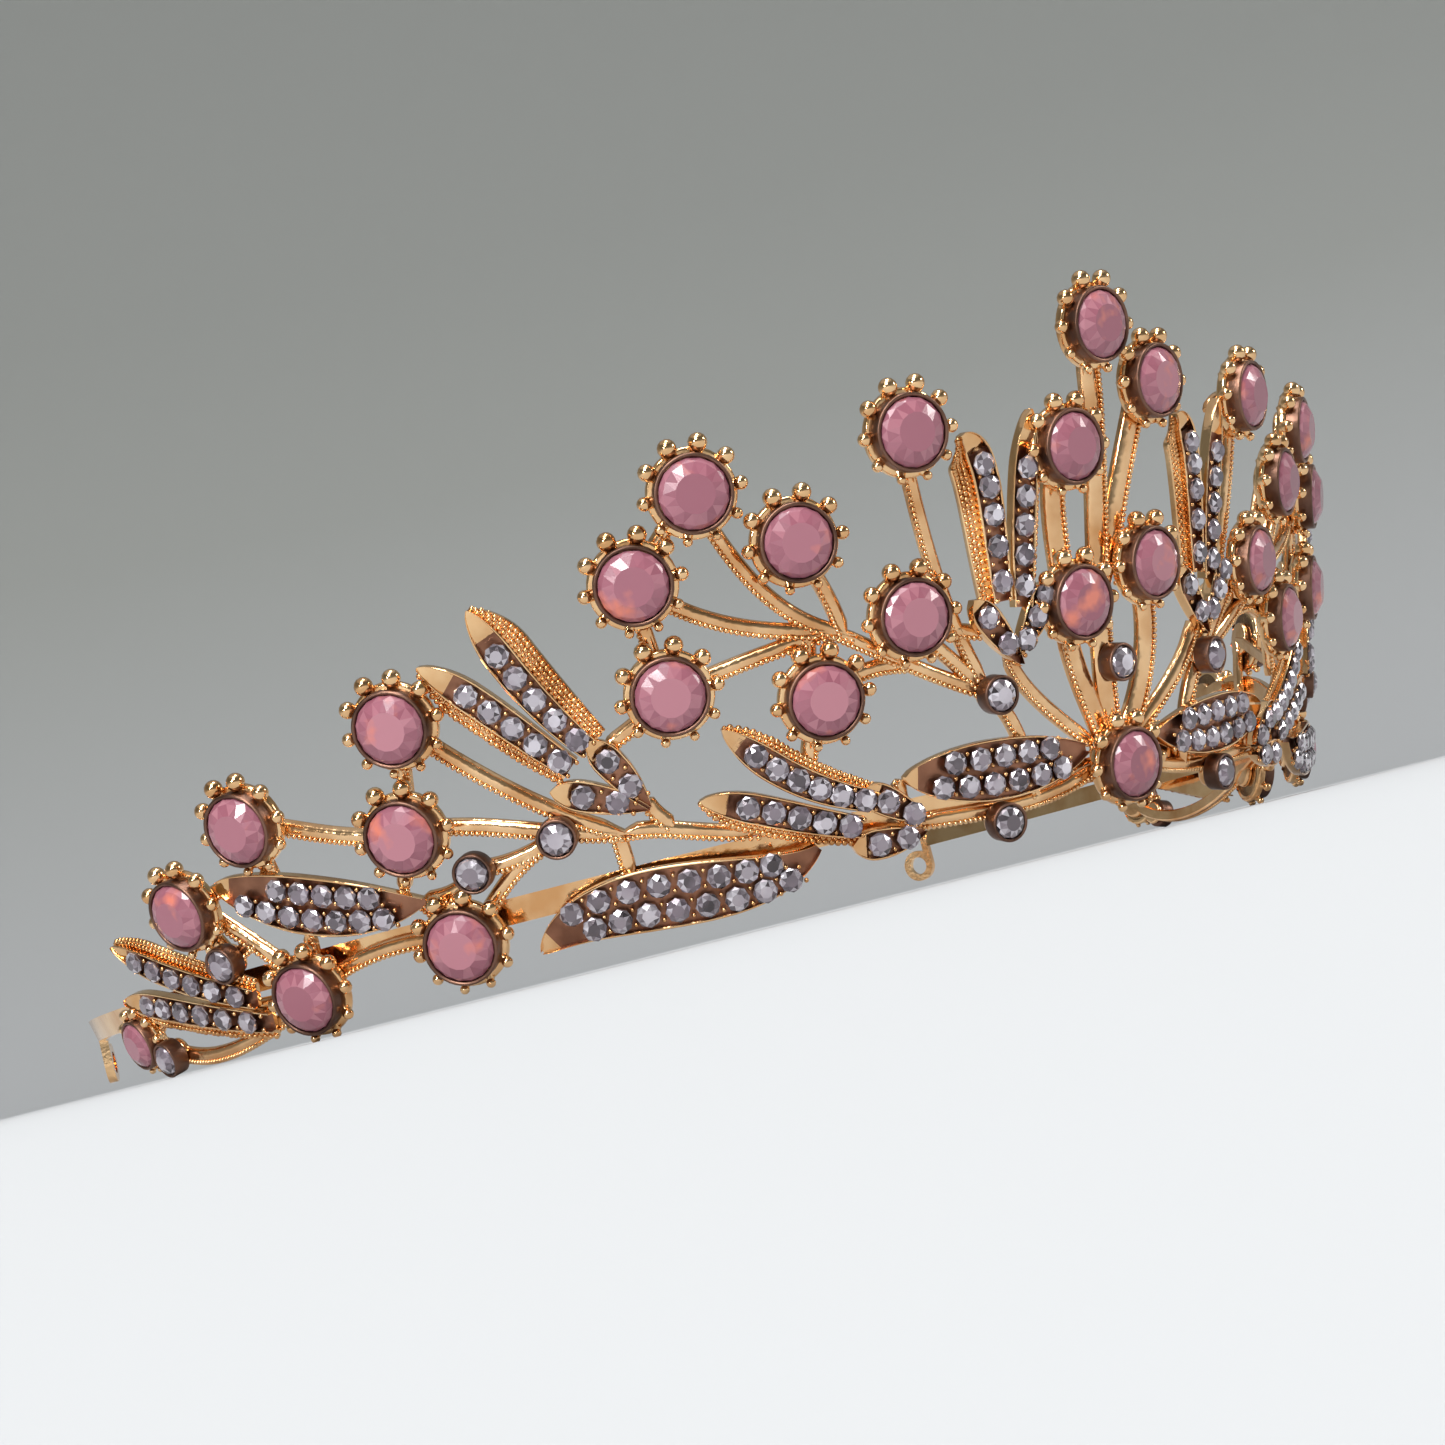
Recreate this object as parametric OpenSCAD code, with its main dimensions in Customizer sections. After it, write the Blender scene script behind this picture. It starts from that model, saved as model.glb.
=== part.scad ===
// Bridal tiara: open floral castings with claw cups and stones, soldered to a head band.
// +Z is up, the front faces -Y, and left means -X. The floor is z = 0.
// Places are written as [angle from the front in degrees, height above the base line in mm],
// on a surface that leans outwards. Everything is seated on that surface by its distance out.

/* [Arc] */
// Radius of the seating surface at the base line
base_r = 74; // [60:0.5:92]
// Growth of that radius for each mm of height
flare = 0.256; // [0.1:0.002:0.4]
// Height of the top stone's centre above the base line
crown_h = 44; // [32:0.5:54]

/* [Head band] */
// Half of the angle that the band goes around the head
band_half_angle = 116; // [100:1:125]
// Height of the band
band_h = 2.4; // [1.6:0.1:4]
// Thickness of the band
band_t = 0.8; // [0.5:0.05:1.5]
// Height of the band's lower edge above the base line
band_z = 2; // [1:0.1:3]

/* [End loops] */
// Radius of the hole that a hair pin goes through
loop_hole_r = 1.3; // [0.9:0.05:2]
// Width of metal around the hole
loop_rim = 1; // [0.7:0.05:1.6]
// Drop from the band's lower edge to the hole's centre
loop_drop = 2.6; // [2.2:0.1:5]
// Thickness of the loop
loop_t = 1; // [0.6:0.05:1.5]

/* [Stems] */
// Width of an ordinary stem
stem_w = 1.5; // [0.9:0.1:2]
// Width of the tall stems at the front
main_stem_w = 2.4; // [1.4:0.1:3]
// Thickness of the stems
stem_t = 1.1; // [0.7:0.05:1.6]
// Gap that solder fills between stems and what is seated on them
solder_gap = 0.03; // [0.01:0.01:0.1]

/* [Large stones and cups] */
// Diameter of a large stone
stone_d = 6.4; // [5:0.1:7.8]
// Diameter of the stone at each end of the ornament
end_stone_d = 4.8; // [3.8:0.1:6]
// Thickness of a large cup's wall
cup_wall = 0.4; // [0.25:0.05:0.7]
// Height of a large cup
cup_h = 2.4; // [1.8:0.1:3.2]
// Thickness of a large cup's base
cup_base = 0.8; // [0.5:0.1:1.2]
// Number of grains around a cup
grains = 10; // [6:1:12]
// Mean diameter of a grain
grain_d = 1.5; // [1:0.1:2]
// Share by which the top grain is larger than the mean
grain_growth = 0.25; // [0:0.05:0.4]

/* [Small stones and cups] */
// Diameter of a small stone in a cup of its own
small_d = 3.1; // [2.4:0.1:3.8]
// Thickness of a small cup's wall
small_wall = 0.3; // [0.2:0.05:0.5]
// Height of a small cup
small_h = 1.7; // [1.3:0.1:2.2]

/* [Leaves] */
// Diameter of a stone in a leaf
pave_d = 2.2; // [1.7:0.05:2.25]
// Height of a leaf's wall above the seating surface
leaf_h = 1.1; // [0.9:0.05:1.6]
// Thickness of a leaf's wall
leaf_wall = 0.25; // [0.15:0.05:0.3]
// Height of the face that a leaf's stones stand on
leaf_seat = 0.45; // [0.35:0.05:0.7]
// Height of a leaf's outer flange
flange_h = 0.4; // [0.3:0.05:0.6]
// Half width of a blade between its walls' outer faces
blade_half = 1.45; // [1.4:0.05:1.8]
// Half width of a two-row leaf
tray_half = 2.9; // [2.8:0.05:3.3]
// Distance of each row from a two-row leaf's middle
tray_row = 1.25; // [1.15:0.05:1.4]
// Radius of the claws between a sprig's stones
claw_r = 0.3; // [0.2:0.02:0.34]

/* [Fit] */
// Clearance between a stone and its cup
stone_gap = 0.03; // [0.01:0.01:0.08]

/* [Hidden] */
gold = "#d99a6c";
opal = "#c9849b";
crystal = "#b9aeb8";

lean = atan(flare);
band_front = -stem_t - 2 * solder_gap;
grain_h = 0.5 * cup_h;
small_base = 0.3 * small_h;
pad_r = 2.2;
claw_row = blade_half - leaf_wall - claw_r;
drawn_crown = 44;       // the heights below were drawn for a crown this high
drawn_base_r = 74;      // and on a surface with this radius
crown_rise = 0.13;      // height of a large stone's crown as a share of its diameter
table_r = 0.3;          // radius of a stone's flat table as a share of its diameter

// Large stones at the front, where a negative angle is on the left
CENTRE = [[0, 3.2], [0, 44], [-3.6, 19], [-3.2, 33.2], [3.6, 21.6], [5.2, 38.6]];
CENTRE_SMALL = [[0, 12.8]];
// On the right, the two inner cups of the spray stand further out
inner_shift = [2, 0.8];
function spray(side) =
    let (out = side == "right" ? inner_shift : [0, 0])
    [[15.2, 36.5] + out, [16.8, 20.5] + out / 2, [23.7, 29], [29.4, 35], [34.2, 28.5], [33.6, 18.5], [23.8, 15]];
// The upright sprig is the same casting on both sides, turned around the head and not mirrored
twin_angle = 19.5;
sprig_root = 9.2;
function root_angle(side) = side == "right" ? twin_angle - sprig_root : sprig_root;
// Large stones near one end
END = [[51.5, 22], [53.3, 12.4], [65, 17.3], [51.8, 1.6], [73.5, 11.4], [65.2, 0.6]];
END_TIP = [86.7, 0.4];
// Small stones on one side, the last of which are near the end
SMALL = [[11, 12], [11.6, 0.4], [43.2, 8.7], [49.5, 7.6], [72, 5.6], [83.6, -1.8]];

// Stems as curves through the air: start, bending points and end
STEMS_MAIN = [
    [CENTRE[1], [1.4, 33], [-1.6, 18], [0, 4]],
    [CENTRE[3], [-4.4, 29], [-3.9, 24], CENTRE[2]],
    [CENTRE[2], [-4.2, 14], [-1.8, 9], [-0.6, 4.5]],
    [CENTRE[5], [4, 34], [1.5, 27], [0.4, 20]],
    [CENTRE[4], [5.6, 15], [3.4, 9], [0.6, 4.5]]
];
function spray_stems(side) = let (p = spray(side), f = root_angle(side)) [
    [p[0], p[0] + [-0.6, -9.5], [14, 20], SMALL[0]],
    [p[3], [28, 29], [26, 22], [20.5, 19.8]],
    [p[4], [31, 24], [28, 22], [22, 20.5]],
    [p[5], [30, 19.2], [27, 20], [22, 20.5]],
    [p[2], [22, 25], [21.6, 22.5], [21.2, 20]],
    [[22, 20.5], [18.5, 17.5], [16, 15], SMALL[0]],
    [p[6], [21, 16.5], [19.5, 16.8], [17.2, 16.2]],
    [p[6], [24.2, 18], [23.6, 20.6]],
    [p[1], [15.4, 18], [13.6, 15.8], [11.8, 13]],
    [p[1], [17.6, 18.5], [17.8, 16.6]],
    [[13.2, 18.4], [12.4, 18], [f + 1.4, 17.6]],
    [SMALL[0], [9, 9.5], [8.2, 5], [8, 1.6]],
    [[f, 15.4], [f - 0.7, 12], [6, 9], [1.7, 5]],
    [[1.7, 3.6], [7, 0.6], [12, 1.5], [18.6, 2]],
    [[11.5, 1.8], SMALL[1]],
    [p[3], [31.8, 32], p[4]],
    [p[4], [34.4, 24], p[5]],
    [p[5], [36, 16.4], [38.6, 15.2]],
    [p[6], [25, 11.6], [25.4, 9]],
    [p[0], p[0] + [-1.6, 0.2], p[0] + [-3.2, -1.4]],
    [[19, 6.2], [19.4, 4], [18.4, 2]],
    [[1.7, 5.4], [1.8, 4.4], [1.7, 3.4]]
];
STEMS_END = [
    [END[0], [48, 16], [43, 10], [38.8, 7.4]],
    [END[2], [60, 14.5], [57, 12.6], END[1]],
    [END[1], [48, 12], [44, 8.5], [38.8, 7.4]],
    [[38.8, 7.4], [36, 7.4], [34, 5.5], [29.5, 4.6]],
    [SMALL[3], [46.5, 7], SMALL[2]],
    [END[3], [48.8, 4.4], [47.5, 7], [43.5, 8.4]],
    [[54.2, 6.2], [51.6, 5.4], SMALL[3]],
    [END[3], [53, 4], [54.2, 6]],
    [END[3], [56, 3.6], [62, 2.6], END[5]],
    [END[1], [54.6, 9.5], [55.4, 7.5]],
    [END[0], [52.6, 17.2], END[1]],
    [END[2], [65.6, 13], [65, 10.5]],
    [END[4], [71, 12.6], [68.5, 12]],
    [END[4], [70.6, 8.4], [67.4, 3.8], END[5]],
    [[64.2, 6], [64.8, 3], END[5]],
    [[39.3, 7.6], [39.2, 6], [39.2, 3.6]],
    [END_TIP, [82, -4.6], [74, -3.6], END[5]],
    [[72.5, 0.6], [69, 0.2], END[5]],
    [END_TIP, [84, 2.4], [80, 3]],
    [END[4], [73.6, 8.5], SMALL[4]],
    [SMALL[4], [70, 6.4], [69.4, 6.8]],
    [[36.8, 9.9], [36.6, 8.5], [35.4, 7]]
];

// Each leaf: name, blades. Each blade: kind, curve from its tip to its root, rows of stones.
// Each row of stones: number, first place and last place along the curve, row's side.
LEAVES = [
    ["upper_sprig", [
        ["blade", [[44.6, 30], [43.6, 25], [42, 20.1], [39.5, 15.6]], -1.7, [[5, 0.30, 0.92, 0]]],
        ["blade", [[48.8, 26.4], [45.6, 22.5], [43.8, 18.5], [41, 14.4]], 1.2, [[5, 0.30, 0.93, 0]]],
        ["bud", [[39.5, 16.3], [38, 13.1], [36.6, 9.2]], 0, [[2, 0.32, 0.68, 0]]],
        ["bud", [[42.8, 12.8], [39.8, 11.2], [36.6, 9.2]], 0, [[2, 0.34, 0.68, 0]]]]],
    ["lower_sprig", [
        ["blade", [[30.8, 14.4], [28, 9.5], [25.5, 7], [21.6, 5.1]], -0.8, [[6, 0.22, 0.95, 0]]],
        ["blade", [[33.3, 8.7], [29.5, 7], [26.5, 4.6], [22.6, 3]], 0.8, [[5, 0.28, 0.92, 0]]],
        ["bud", [[22.2, 6.2], [20.4, 4.7], [17.8, 2.2]], 0, [[2, 0.42, 0.80, 0]]],
        ["bud", [[23.6, 1.5], [21, 0.8], [18, 1.4]], 0, [[2, 0.36, 0.74, 0]]]]],
    ["long_leaf", [
        ["tray", [[46.6, -1], [41, 4.5], [31, -2.2], [26, 2.2]], 0, [[8, 0.21, 0.85, 1], [8, 0.165, 0.805, -1]]]]],
    ["front_leaf", [
        ["tray", [[19, 6.4], [14, 5.2], [8, 4.8], [3.6, 5.4]], 0, [[6, 0.18, 0.80, 1], [5, 0.24, 0.74, -1]]]]],
    ["end_leaf", [
        ["tray", [[69.8, 13], [65, 9.5], [59, 6.5], [53.7, 6.2]], 0, [[7, 0.17, 0.81, 1], [5, 0.33, 0.76, -1]]]]],
    ["upright_sprig", [
        ["blade", [[11.4, 35.4], [9.4, 34.5], [9.8, 28], [9.7, 20.2]], 1.8, [[5, 0.34, 0.92, 0]]],
        ["blade", [[5.8, 37], [7, 31], [7.5, 26], [8.1, 19.4]], -0.6, [[5, 0.30, 0.90, 0]]],
        ["bud", [[12, 20.8], [10.6, 18], [8.7, 14.2]], 0, [[2, 0.30, 0.70, 0]]],
        ["bud", [[5.8, 21.4], [6.8, 18.4], [9.1, 15.2]], 0, [[3, 0.20, 0.80, 0]]]]],
    ["end_sprig", [
        ["blade", [[84.5, 10.5], [80, 6.5], [76, 4.2], [70.6, 1.6]], -1.2, [[6, 0.20, 0.90, 0]]],
        ["blade", [[86.6, 4.8], [82, 4], [77, 1.2], [70, -1]], 1.0, [[6, 0.26, 0.90, 0]]]]]
];

SIDES = ["left", "right"];
FRONT_NODES = ["base_band", "stems_centre", "cups_centre", "stones_centre", "small_cups_centre",
    "small_stones_centre"];
SIDE_NODES = ["end_loop", "stems_spray", "stems_end", "cups_spray", "cups_end", "stones_spray",
    "stones_end", "small_cups", "small_stones"];

// ---- Geometry of the seating surface ----
function high(z) = z * crown_h / drawn_crown;
function radius_at(z) = base_r + flare * high(z);
function mm_per_deg(z) = radius_at(z) * PI / 180;
// A point at angle t and height z, moved d mm along the surface and off mm out of it
function seat(t, z, move = [0, 0], off = 0) =
    let (h = high(z) + move[1] * cos(lean),
        r = base_r + flare * h + off * cos(lean),
        a = t + move[0] / mm_per_deg(z))
    [r * sin(a), -r * cos(a), h - off * sin(lean)];

function mix(a, b, u) = a + (b - a) * u;
function curve(p, u) =
    len(p) == 1 ? p[0] : curve([for (i = [0:len(p) - 2]) mix(p[i], p[i + 1], u)], u);
function slope(p, u) = curve([for (i = [0:len(p) - 2]) p[i + 1] - p[i]], u) * (len(p) - 1);
// Unit step across a curve, in mm along the surface
function across(p, u) =
    let (z = curve(p, u)[1], s = slope(p, u),
        v = [s[0] * mm_per_deg(z), s[1] * crown_h / drawn_crown / cos(lean)], n = norm(v))
    [-v[1], v[0]] / n;
function beside(p, u, d, off) = let (q = curve(p, u)) seat(q[0], q[1], across(p, u) * d, off);

// The lowest grains touch the floor, so the base line is this far above it
function grain_low(place, i) =
    high(place[1]) + grain_ring_r(i, stone_d) * sin(grain_angle(i)) * cos(lean)
        - grain_h * sin(lean) - grain_r(i, stone_d);
lift = -min([for (p = END) for (i = [0:grains - 1]) grain_low(p, i)]);
// The frame's origin is midway between the top stone's face and the end loops' backs
loop_r = loop_hole_r + loop_rim;
loop_seat_r = base_r + flare * (band_z + band_h / 2) + band_front - band_t / 2;
front_reach = radius_at(drawn_crown) + (cup_h + crown_rise * stone_d) * cos(lean)
    + table_r * stone_d * sin(lean);
back_reach = 2 * loop_r * sin(band_half_angle) - (loop_seat_r + loop_t / 2) * cos(band_half_angle);
arc_y = (front_reach - back_reach) / 2;

// Puts something made flat on the XY plane onto the surface, facing out
module on_surface(t, z) {
    translate(seat(t, z)) rotate([90 + lean, 0, t]) children();
}
// One side of the tiara is drawn on the right, and the left one is its mirror image
module on_side(side) {
    translate([0, arc_y, lift]) mirror([side == "left" ? 1 : 0, 0, 0]) children();
}
module at_front() {
    translate([0, arc_y, lift]) children();
}

// Solid through a list of rings with the same number of points
module skin(rings) {
    m = len(rings[0]);
    n = len(rings);
    walls = [for (i = [0:n - 2]) for (j = [0:m - 1])
        let (k = (j + 1) % m)
        each [[i * m + j, (i + 1) * m + j, (i + 1) * m + k], [i * m + j, (i + 1) * m + k, i * m + k]]];
    first_cap = [for (j = [0:m - 1]) j];
    last_cap = [for (j = [m - 1:-1:0]) (n - 1) * m + j];
    polyhedron([for (r = rings) each r], concat([first_cap, last_cap], walls));
}

// ---- Stems ----
module stem(path, width, steps = 5) {
    front = -solder_gap;
    back = front - stem_t;
    skin([for (i = [0:steps])
        let (u = i / steps, w = width / 2)
        [beside(path, u, -w, back), beside(path, u, w, back), beside(path, u, w * 0.8, front),
            beside(path, u, -w * 0.8, front)]]);
}
// Round pad of solder that a cup stands on
module pad(place, r = pad_r) {
    on_surface(place[0], place[1])
        hull() {
            translate([0, 0, -0.1]) cylinder(r = r, h = 0.1, $fn = 8);
            translate([0, 0, -0.8 * stem_t]) cylinder(r = r - 0.6, h = 0.1, $fn = 8);
        }
}
module stem_group(paths, width, places, small_places) {
    for (p = paths) stem(p, width);
    for (q = places) pad(q);
    for (q = small_places) pad(q, small_d / 2);
}
// Root where the tall stems meet behind the lowest front stone
module stem_root() {
    for (a = [-1.4, 1.4])
        hull() {
            on_surface(0, 4) translate([0, 0, -stem_t - solder_gap]) cylinder(r = 2.4, h = stem_t, $fn = 12);
            on_surface(a, 8) translate([0, 0, -stem_t - solder_gap]) cylinder(r = 0.9, h = stem_t, $fn = 8);
        }
}
module stems_centre() {
    color(gold) at_front() {
        stem_group(STEMS_MAIN, main_stem_w, CENTRE, CENTRE_SMALL);
        stem_root();
    }
}
module stems_spray(side) {
    color(gold) on_side(side)
        stem_group(spray_stems(side), stem_w, spray(side), [for (i = [0, 1]) SMALL[i]]);
}
module stems_end(side) {
    color(gold) on_side(side)
        stem_group(STEMS_END, stem_w, concat(END, [END_TIP]), [for (i = [2:5]) SMALL[i]]);
}

// ---- Cups and stones, each a turned shape seated on the surface ----
// The room for a stone: a round bore over a cone that narrows to the cup's base
module stone_room(d, h, base) {
    bore = d / 2 + stone_gap;
    rotate_extrude($fn = 48)
        polygon([[0, base], [0.12 * d, base], [bore, h - 0.1 * d], [bore, h + 1], [0, h + 1]]);
}
// Grains are round and sunk a little into the cup's wall. They grow towards the cup's top.
function grain_angle(i) = i * 360 / grains;
function grain_r(i, d) = grain_d / 2 * (1 + grain_growth * sin(grain_angle(i))) * d / stone_d;
function grain_ring_r(i, d) = d / 2 + stone_gap + cup_wall + 0.8 * grain_r(i, d);
module grain_ring(d) {
    for (i = [0:grains - 1])
        rotate([0, 0, grain_angle(i)]) translate([grain_ring_r(i, d), 0, grain_h])
            sphere(r = grain_r(i, d), $fn = 24);
}
// A large cup has a flat on its outside for each grain
module large_cup(place, d = stone_d) {
    flat_r = d / 2 + stone_gap + cup_wall;
    half_step = 180 / grains;
    on_surface(place[0], place[1])
        difference() {
            union() {
                rotate([0, 0, half_step]) cylinder(r = flat_r / cos(half_step), h = cup_h, $fn = grains);
                grain_ring(d);
            }
            stone_room(d, cup_h, cup_base);
        }
}
// A stone stands in its cup's cone, with its girdle just under the rim
module stone(place, d, h, base, crown) {
    ledge = h - 0.1 * d;
    on_surface(place[0], place[1])
        rotate_extrude($fn = 48)
            polygon([[0, base + stone_gap], [0.12 * d, base + stone_gap], [d / 2, ledge + stone_gap],
                [d / 2, h - 0.03 * d], [table_r * d, h + crown * d], [0, h + crown * d]]);
}
module small_cup(place) {
    on_surface(place[0], place[1])
        difference() {
            cylinder(r = small_d / 2 + stone_gap + small_wall, h = small_h, $fn = 48);
            stone_room(small_d, small_h, small_base);
        }
}
module small_stone(place) {
    stone(place, small_d, small_h, small_base, crown_rise);
}
module large_stone(place, d = stone_d) {
    stone(place, d, cup_h, cup_base, crown_rise);
}

module cups_centre() {
    color(gold) at_front() for (p = CENTRE) large_cup(p);
}
module stones_centre() {
    color(opal) at_front() for (p = CENTRE) large_stone(p);
}
module small_cups_centre() {
    color(gold) at_front() for (p = CENTRE_SMALL) small_cup(p);
}
module small_stones_centre() {
    color(crystal) at_front() for (p = CENTRE_SMALL) small_stone(p);
}
module cups_spray(side) {
    color(gold) on_side(side) for (p = spray(side)) large_cup(p);
}
module stones_spray(side) {
    color(opal) on_side(side) for (p = spray(side)) large_stone(p);
}
module cups_end(side) {
    color(gold) on_side(side) {
        for (p = END) large_cup(p);
        large_cup(END_TIP, end_stone_d);
    }
}
module stones_end(side) {
    color(opal) on_side(side) {
        for (p = END) large_stone(p);
        large_stone(END_TIP, end_stone_d);
    }
}
module small_cups(side) {
    color(gold) on_side(side) for (p = SMALL) small_cup(p);
}
module small_stones(side) {
    color(crystal) on_side(side) for (p = SMALL) small_stone(p);
}

// ---- Leaves ----
// Width along a leaf, from 0 at its tip: full at nose, then narrowing to tail at its root
function leaf_profile(u, nose, tail) =
    u < nose ? max(0.06, pow(sin(90 * u / nose), 0.6)) : mix(1, tail, pow((u - nose) / (1 - nose), 2.2));
function nose_of(kind) = kind == "tray" ? 0.45 : 0.32;
function tail_of(kind) = kind == "blade" ? 0.7 : 0.12;
function half_of(kind) = kind == "tray" ? tray_half : blade_half;

// A walled leaf along a curve. A flange wider than 0 goes on one side, chosen by its sign.
module leaf_body(kind, path, flange, steps = 7) {
    w = half_of(kind);
    low = [-w - max(0, -flange), w + max(0, flange)];
    skin([for (i = [0:steps])
        let (u = i / steps, f = leaf_profile(u, nose_of(kind), tail_of(kind)), in = w - leaf_wall)
        [for (q = [[low[0], 0], [low[1], 0], [low[1], flange_h], [w, flange_h + 0.01], [w, leaf_h],
            [in, leaf_h], [in, leaf_seat], [-in, leaf_seat], [-in, leaf_h], [-w, leaf_h],
            [-w, flange_h + 0.01], [low[0], flange_h]])
            beside(path, u, q[0] * f, q[1])]]);
}
// Length of a curve on a surface with a given base radius and height scale
function total(v, i = 0) = i < len(v) ? v[i] + total(v, i + 1) : 0;
function span(p, r, k) =
    total([for (i = [0:5])
        let (a = curve(p, i / 6), b = curve(p, (i + 1) / 6), s = b - a)
        norm([s[0] * (r + flare * k * a[1]) * PI / 180, s[1] * k / cos(lean)])]);
// A row was drawn full, so it takes more or fewer stones as its leaf gets longer or shorter
function row_count(path, row) =
    max(2, 1 + floor((row[0] - 1) * span(path, base_r, crown_h / drawn_crown)
        / span(path, drawn_base_r, 1) + 0.001));
function row_place(path, kind, row, i) =
    let (u = mix(row[1], row[2], i / (row_count(path, row) - 1)),
        d = row[3] * tray_row * (0.45 + 0.55 * leaf_profile(u, nose_of(kind), tail_of(kind))))
    [u, d];
module on_leaf(path, place) {
    q = curve(path, place[0]);
    step = across(path, place[0]) * place[1];
    on_surface(q[0] + step[0] / mm_per_deg(q[1]), q[1] + step[1] * cos(lean) * drawn_crown / crown_h)
        children();
}
// The blades of a leaf, which are moved for the upright sprig's twin on the right
function blades(index, side) =
    side == "right" && LEAVES[index][0] == "upright_sprig"
        ? [for (b = LEAVES[index][1])
            [b[0], [for (q = b[1]) [twin_angle - q[0], q[1]]], -b[2], b[3]]]
        : LEAVES[index][1];
module each_leaf_stone(blade) {
    for (row = blade[3])
        for (i = [0:row_count(blade[1], row) - 1])
            on_leaf(blade[1], row_place(blade[1], blade[0], row, i)) children();
}
// Claw between two stones of a row, on one side and the other by turns
module claws(blade) {
    for (row = blade[3]) {
        gaps = row_count(blade[1], row) - 1;
        for (i = [0:gaps - 1])
            on_leaf(blade[1], [mix(row[1], row[2], (i + 0.5) / gaps), claw_row * (1 - 2 * (i % 2))])
                hull() {
                    translate([0, 0, leaf_seat - 0.2]) cylinder(r = claw_r, h = 0.1, $fn = 4);
                    translate([0, 0, leaf_h]) cylinder(r = claw_r * 0.7, h = 0.1, $fn = 4);
                }
    }
}
module leaf(index, side) {
    color(gold) on_side(side)
        for (b = blades(index, side)) {
            leaf_body(b[0], b[1], b[2]);
            if (b[0] != "tray") claws(b);
        }
}
module pave(index, side) {
    color(crystal) on_side(side)
        for (b = blades(index, side))
            each_leaf_stone(b)
                translate([0, 0, leaf_seat + solder_gap])
                    rotate_extrude($fn = 24)
                        polygon([[0, 0], [pave_d * 0.3, 0], [pave_d / 2, 0.4], [pave_d / 2, 0.5],
                            [pave_d * 0.3, 0.85], [0, 0.85]]);
}

// ---- Head band and its end loops ----
// The band lies behind the stems, in one piece around the head
module base_band() {
    color(gold) at_front()
        rotate([0, 0, -90 - band_half_angle])
            rotate_extrude(angle = 2 * band_half_angle, $fn = 180)
                polygon([for (q = [[band_z, band_front], [band_z + band_h, band_front],
                    [band_z + band_h, band_front - band_t], [band_z, band_front - band_t]])
                    [base_r + flare * q[0] + q[1], q[0]]]);
}
module end_loop(side) {
    // The loop hangs from the band's end, and its neck meets the end face
    color(gold) on_side(side)
        rotate([0, 0, band_half_angle])
            translate([solder_gap, -loop_seat_r, band_z])
                rotate([90, 0, 0])
                    difference() {
                        union() {
                            translate([loop_r, -loop_drop, 0])
                                cylinder(r = loop_r, h = loop_t, center = true, $fn = 48);
                            translate([0, -loop_drop, -loop_t / 2])
                                cube([loop_rim, loop_drop + band_h, loop_t]);
                        }
                        translate([loop_r, -loop_drop, 0])
                            cylinder(r = loop_hole_r, h = loop_t + 1, center = true, $fn = 48);
                    }
}

base_band();
stems_centre();
cups_centre();
stones_centre();
small_cups_centre();
small_stones_centre();
for (s = SIDES) {
    end_loop(s);
    stems_spray(s);
    stems_end(s);
    cups_spray(s);
    cups_end(s);
    stones_spray(s);
    stones_end(s);
    small_cups(s);
    small_stones(s);
    for (i = [0:len(LEAVES) - 1]) {
        leaf(i, s);
        pave(i, s);
    }
}
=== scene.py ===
# %% [markdown]
# # A bridal tiara in rose gold
# Seven leaf castings and fourteen clawed cups stand on each side of a front, all on one leaning surface.
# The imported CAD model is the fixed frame. The lists below repeat its design, its band places them,
# and this script gives the finish.

# %% Load the frame
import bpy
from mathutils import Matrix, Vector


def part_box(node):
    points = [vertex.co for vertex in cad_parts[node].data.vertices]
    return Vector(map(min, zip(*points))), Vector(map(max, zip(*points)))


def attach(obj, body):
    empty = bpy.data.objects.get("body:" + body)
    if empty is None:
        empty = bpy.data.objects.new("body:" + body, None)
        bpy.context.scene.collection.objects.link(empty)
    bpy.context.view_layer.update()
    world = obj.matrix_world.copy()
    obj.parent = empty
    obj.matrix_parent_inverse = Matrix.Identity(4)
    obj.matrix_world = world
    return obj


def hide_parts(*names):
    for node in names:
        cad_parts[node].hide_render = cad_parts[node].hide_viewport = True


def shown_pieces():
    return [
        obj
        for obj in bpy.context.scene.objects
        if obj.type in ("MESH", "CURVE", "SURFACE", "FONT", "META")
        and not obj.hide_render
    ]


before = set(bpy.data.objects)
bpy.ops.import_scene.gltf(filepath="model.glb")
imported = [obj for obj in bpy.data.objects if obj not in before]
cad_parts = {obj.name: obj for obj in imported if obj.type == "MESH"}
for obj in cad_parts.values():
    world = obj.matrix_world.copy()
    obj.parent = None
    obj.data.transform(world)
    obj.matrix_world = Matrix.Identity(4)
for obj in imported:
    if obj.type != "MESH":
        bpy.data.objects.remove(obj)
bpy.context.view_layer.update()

# %% [markdown]
# ## Measures
# The band is a ring around the head, so its box gives the middle of the arc and the height of the base line.

# %% Driving dimensions in mm
import math
import random
import bpy
import numpy as np
from mathutils import Matrix, Vector

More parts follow.
